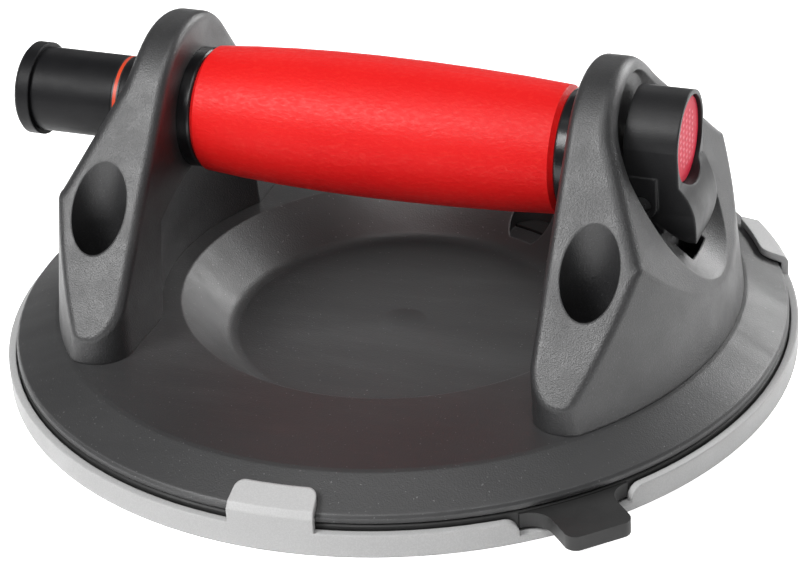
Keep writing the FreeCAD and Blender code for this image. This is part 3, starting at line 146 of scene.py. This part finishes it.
def moulded(name, dark, light, roughness, grain=1.0, speck=0.0, wear_and_highlight=0.3, **sockets):
    """Moulded plastic: a fine spark-eroded grain, faint clouds, pale specks, and edges lightened
    in patches, partly worn and partly a painted highlight.
    """
    m = Maker(name, dark, roughness, **sockets)
    clouds = m.noise(38, 5, 0.6)
    fine = m.noise(GRAIN_SCALE, 2, 0.5)
    tone = m.clouded(clouds, dark, light)
    grit = m.span(fine, 0.42, 0.62, 0, min(1.0, 0.22 * grain))
    tone = m.mix(grit, tone, tuple(min(0.9, 1.7 * c) for c in light))
    # Edges lightened in patches: partly worn, partly a painted highlight along the creases.
    edges = m.worn_and_highlit_edges(0.0008, 0.35 * wear_and_highlight, wear_and_highlight)
    tone = m.mix(edges, tone, tuple(min(0.9, 1.5 * c + 0.03) for c in light))
    if speck:
        dust = m.span(m.noise(SPECK_SCALE, 2, 0.5), 0.66, 0.74, 0, speck)
        tone = m.mix(dust, tone, tuple(min(1.0, c * 4 + 0.06) for c in light))
    m.color(tone)
    sheen = m.noise(SHEEN_SCALE, 4, 0.6)
    m.roughness(m.span(sheen, *NOISE_MIDDLE, roughness - 0.06, roughness + 0.06))
    m.bump(fine, 0.00005 * grain, 0.8)
    m.bump(clouds, 0.0002, 0.25)
    return m.material


def scuffed(name, dark, light, roughness, **sockets):
    """The plate's moulded plastic, with faint wiped smears, pale dust, and edges lightened as a
    painted highlight, partly worn.
    """
    m = Maker(name, dark, roughness, **sockets)
    stretched = m.node("ShaderNodeMapping")
    stretched.inputs["Rotation"].default_value = (0, 0, math.radians(24))
    stretched.inputs["Scale"].default_value = (0.35, 1.6, 1.0)
    m.link(m.place, stretched.inputs["Vector"])
    smears = m.noise(34, 6, 0.62, stretched.outputs["Vector"])
    clouds = m.noise(21, 5, 0.6)
    tone = m.clouded(clouds, dark, light)
    # Edges lightened in patches: a painted highlight along the rim and creases, partly worn.
    edges = m.worn_and_highlit_edges(0.0009, 0.35, 1.0)
    tone = m.mix(edges, tone, tuple(2.2 * c + 0.03 for c in light))
    tone = m.mix(m.span(smears, 0.52, 0.74, 0, 0.55), tone, tuple(1.55 * c for c in light))
    dust = m.span(m.noise(1500, 1, 0.4), 0.735, 0.775, 0, 0.55)
    tone = m.mix(dust, tone, (0.24, 0.24, 0.24))
    m.color(tone)
    m.roughness(m.span(smears, 0.35, 0.7, roughness + 0.07, roughness - 0.09))
    fine = m.noise(2300, 2, 0.5)
    m.bump(fine, 0.00008, 0.8)
    m.bump(smears, 0.0002, 0.2)
    return m.material


def rubber(name, dark, light, roughness):
    """Black or grey rubber with a fine matt grain, and the filter's foam."""
    m = Maker(name, dark, roughness)
    clouds = m.noise(30, 5, 0.6)
    m.color(m.clouded(clouds, dark, light))
    sheen = m.noise(90, 4, 0.6)
    m.roughness(m.span(sheen, *NOISE_MIDDLE, roughness - 0.08, roughness + 0.08))
    m.bump(m.noise(900, 3, 0.6), 0.00005, 0.6)
    return m.material


def steel(name, color, roughness):
    """Bare or plated metal with a fine uneven polish."""
    m = Maker(name, color, roughness, Metallic=1.0)
    turned = m.noise(700, 3, 0.5)
    m.roughness(m.span(turned, *NOISE_MIDDLE, roughness - 0.07, roughness + 0.07))
    m.bump(turned, 0.00002, 0.5)
    return m.material


def grip_rubber():
    """Soft red rubber with a leathery grain drawn out along the grip."""
    m = Maker("grip_red", (0.80, 0.008, 0.008), 0.45, Specular_IOR_Level=0.26)
    drawn = m.node("ShaderNodeMapping")
    drawn.inputs["Scale"].default_value = (0.5, 1.0, 1.0)
    m.link(m.place, drawn.inputs["Vector"])
    wrinkles = m.noise(1150, 3, 0.6, drawn.outputs["Vector"])
    clouds = m.noise(24, 5, 0.6)
    tone = m.clouded(clouds, (0.76, 0.005, 0.006), (0.84, 0.011, 0.010))
    m.color(m.mix(m.span(wrinkles, 0.5, 0.75, 0, 0.3), tone, (0.90, 0.050, 0.035)))
    m.roughness(m.span(wrinkles, *NOISE_MIDDLE, 0.56, 0.38))
    m.bump(wrinkles, 0.00016, 0.7)
    m.bump(m.noise(95, 3, 0.5), 0.0005, 0.18)
    return m.material


def dotted_red():
    """The lever's red pad: rows of small raised dots inside a smooth border."""
    low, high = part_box("lever_pad")
    middle = [(a + b) / 2 for a, b in zip(low, high)]
    reach = (high[2] - low[2]) / 2
    m = Maker("lever_pad_red", (0.70, 0.05, 0.08), 0.5, Specular_IOR_Level=0.2)
    split = m.node("ShaderNodeSeparateXYZ")
    m.link(m.place, split.inputs["Vector"])
    waves = []
    for axis, pitch in DOT_PITCH:
        phase = m.math("MULTIPLY", split.outputs[axis], 2 * math.pi / pitch)
        waves.append(m.span(m.math("COSINE", phase, 0.0), -0.35, 0.45))
    dots = m.math("MULTIPLY", waves[0], waves[1])
    away = [m.math("SUBTRACT", split.outputs[axis], middle[n]) for axis, n in (("Y", 1), ("Z", 2))]
    squares = [m.math("MULTIPLY", part, part) for part in away]
    square = m.math("ADD", *squares)
    inside = m.span(square, *((share * reach) ** 2 for share in DOT_BORDER), 1.0, 0.0)
    dots = m.math("MULTIPLY", dots, inside)
    m.color(m.mix(dots, (0.76, 0.022, 0.060), (0.93, 0.20, 0.26)))
    m.bump(dots, 0.0003, 0.8)
    return m.material


def banded_orange():
    """The mark ring: an orange band that fades to dark at its two edges, partly painted shade of
    its groove and partly a narrower band.
    """
    low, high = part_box("indicator_ring")
    half = (high[0] - low[0]) / 2
    m = Maker("mark_orange", (0.62, 0.05, 0.015), 0.4)
    split = m.node("ShaderNodeSeparateXYZ")
    m.link(m.place, split.inputs["Vector"])
    away = m.math("ABSOLUTE", m.math("SUBTRACT", split.outputs["X"], low[0] + half), 0.0)
    # The dark edges are painted shade of the groove the ring sits in, and also narrow the orange
    # band.
    band = m.span(away, 0.45 * half, 0.62 * half, 1.0, 0.0)
    orange = m.clouded(m.noise(300, 3, 0.6), (0.60, 0.045, 0.012), (0.74, 0.07, 0.02))
    m.color(m.mix(band, (0.014, 0.012, 0.012), orange))
    m.bump(m.noise(900, 3, 0.6), 0.00003, 0.6)
    return m.material


# ---------------------------------------------------------------- materials
charcoal = moulded("charcoal_plastic", (0.020, 0.020, 0.021), (0.026, 0.026, 0.027), 0.42,
                   grain=2.6, speck=0.5, wear_and_highlight=1.0, Specular_IOR_Level=0.8)
# The plate is the brackets' charcoal painted lighter, standing in for the light it catches.
plate_charcoal_painted_lighter = scuffed("plate_charcoal_painted_lighter", (0.031, 0.031, 0.032), (0.038, 0.038, 0.039), 0.47,
                         Specular_IOR_Level=0.65)
satin_black = moulded("satin_black", (0.012, 0.012, 0.013), (0.018, 0.018, 0.019), 0.42,
                      grain=0.8, wear_and_highlight=0.12, Specular_IOR_Level=0.3)
plunger_black = moulded("plunger_black", (0.006, 0.006, 0.007), (0.009, 0.009, 0.010), 0.46,
                        grain=0.8, wear_and_highlight=0.15, Specular_IOR_Level=0.2)
gloss_black = moulded("gloss_black", (0.006, 0.006, 0.007), (0.009, 0.009, 0.010), 0.22,
                      grain=0.3)
cover_grey = moulded("cover_grey", (0.45, 0.45, 0.45), (0.48, 0.48, 0.48), 0.5, grain=0.6)
pump_white = moulded("pump_plastic", (0.62, 0.60, 0.55), (0.68, 0.66, 0.61), 0.45, grain=0.4)
pad_black = rubber("pad_rubber", (0.014, 0.014, 0.014), (0.022, 0.022, 0.022), 0.55)
seal_black = rubber("seal_rubber", (0.012, 0.012, 0.012), (0.018, 0.018, 0.018), 0.5)
foam = rubber("filter_foam", (0.12, 0.12, 0.12), (0.2, 0.2, 0.2), 0.9)
mark_orange = banded_orange()
zinc = steel("zinc_steel", (0.62, 0.62, 0.63), 0.32)
black_steel = steel("black_steel", (0.05, 0.05, 0.055), 0.38)
aluminium = steel("pump_aluminium", (0.75, 0.75, 0.76), 0.3)
grip_red = grip_rubber()
pad_red = dotted_red()

finishes = {
    charcoal: ["left_bracket", "right_bracket"],
    plate_charcoal_painted_lighter: ["base_plate"],
    satin_black: ["release_lever"],
    plunger_black: ["plunger_tube", "plunger_cap"],
    gloss_black: ["left_collar", "right_collar"],
    cover_grey: ["protective_cover"],
    pump_white: ["plunger_bush", "piston", "check_valve_plug", "valve_poppet"],
    pad_black: ["suction_pad"],
    seal_black: ["plug_oring", "barrel_oring", "piston_seal", "valve_seal", "check_valve_flap"],
    foam: ["dust_filter"],
    mark_orange: ["indicator_ring"],
    zinc: ["pad_clamp_ring", "ring_screws", "bracket_nuts", "pump_spring", "poppet_spring",
           "lever_pin"],
    black_steel: ["bracket_screws", "bracket_washers"],
    aluminium: ["pump_barrel"],
    grip_red: ["grip_sleeve"],
    pad_red: ["lever_pad"],
}
for material, names in finishes.items():
    for name in names:
        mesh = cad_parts[name].data
        mesh.materials.clear()
        mesh.materials.append(material)


# ---------------------------------------------------------------- floor, light and camera
def flat_plane(name, half, z):
    """A square in the XY plane, twice half wide."""
    mesh = bpy.data.meshes.new(name)
    made = bmesh.new()
    bmesh.ops.create_grid(made, x_segments=1, y_segments=1, size=half)
    bmesh.ops.translate(made, verts=made.verts, vec=(0, 0, z))
    made.to_mesh(mesh)
    made.free()
    plane = bpy.data.objects.new(name, mesh)
    bpy.context.collection.objects.link(plane)
    return plane


def seen_directly(tree):
    """1 for rays that show the background: straight, mirrored or through glass."""
    path = tree.nodes.new("ShaderNodeLightPath")
    total = None
    for ray in ("Is Camera Ray", "Is Glossy Ray", "Is Transmission Ray"):
        if total is None:
            total = path.outputs[ray]
            continue
        add = tree.nodes.new("ShaderNodeMath")
        add.operation = "MAXIMUM"
        tree.links.new(total, add.inputs[0])
        tree.links.new(path.outputs[ray], add.inputs[1])
        total = add.outputs["Value"]
    return total


def make_world(level):
    """A white background that lights the scene with only a part of its strength."""
    world = bpy.data.worlds.new("studio")
    bpy.context.scene.world = world
    world.use_nodes = True
    tree = world.node_tree
    background = tree.nodes["Background"]
    background.inputs["Color"].default_value = (1, 1, 1, 1)
    strength = tree.nodes.new("ShaderNodeMapRange")
    strength.inputs["To Min"].default_value = level
    strength.inputs["To Max"].default_value = 1.0
    path = tree.nodes.new("ShaderNodeLightPath")
    tree.links.new(path.outputs["Is Camera Ray"], strength.inputs["Value"])
    tree.links.new(strength.outputs["Result"], background.inputs["Strength"])


def soft_box(name, azimuth, elevation, distance, size, power):
    """An area lamp on a sphere round the object, facing it."""
    light = bpy.data.lights.new(name, "AREA")
    light.shape = "RECTANGLE"
    light.size, light.size_y = size
    light.energy = power
    lamp = bpy.data.objects.new(name, light)
    a, e = math.radians(azimuth), math.radians(elevation)
    away = Vector((math.sin(a) * math.cos(e), -math.cos(a) * math.cos(e), math.sin(e)))
    lamp.location = Vector(LAMP_AIM) + away * distance
    lamp.rotation_euler = away.to_track_quat("Z", "Y").to_euler()
    bpy.context.collection.objects.link(lamp)


floor = flat_plane("studio_floor", FLOOR_HALF, FLOOR_HEIGHT)
floor_finish = bpy.data.materials.new("floor_white")
floor_finish.use_nodes = True
floor_tree = floor_finish.node_tree
floor_inputs = floor_tree.nodes["Principled BSDF"].inputs
floor_inputs["Base Color"].default_value = (0.9, 0.9, 0.9, 1)
floor_inputs["Roughness"].default_value = 0.9
floor_inputs["Emission Color"].default_value = (1, 1, 1, 1)
floor_tree.links.new(seen_directly(floor_tree), floor_inputs["Emission Strength"])
floor.data.materials.append(floor_finish)

make_world(AMBIENT)
soft_box("key", -32, 41, 1.3, (0.55, 0.5), 12.5)
soft_box("overhead", 22, 70, 1.3, (0.7, 0.7), 6.5)
soft_box("back_right", 150, 20, 1.2, (0.7, 0.40), 10)
soft_box("back", 205, 24, 1.5, (0.9, 0.6), 0.9)
soft_box("front_right", 42, 6, 1.1, (0.8, 0.24), 0.35)


def make_camera(azimuth, elevation, roll, distance, aim, lens):
    """A camera that looks at a point from the given direction."""
    camera = bpy.data.objects.new("camera", bpy.data.cameras.new("camera"))
    camera.data.lens = lens
    camera.data.sensor_width = 36
    turn = (Matrix.Rotation(math.radians(azimuth), 4, "Z")
            @ Matrix.Rotation(math.radians(90 - elevation), 4, "X")
            @ Matrix.Rotation(math.radians(roll), 4, "Z"))
    camera.matrix_world = (Matrix.Translation(Vector(aim)) @ turn
                           @ Matrix.Translation((0, 0, distance)))
    bpy.context.collection.objects.link(camera)
    bpy.context.scene.camera = camera


make_camera(azimuth=21.96, elevation=29.39, roll=-3.42, distance=0.8016,
            aim=(-0.0022, 0.0061, 0.0115), lens=130.8)
bpy.context.scene.view_settings.view_transform = "Standard"
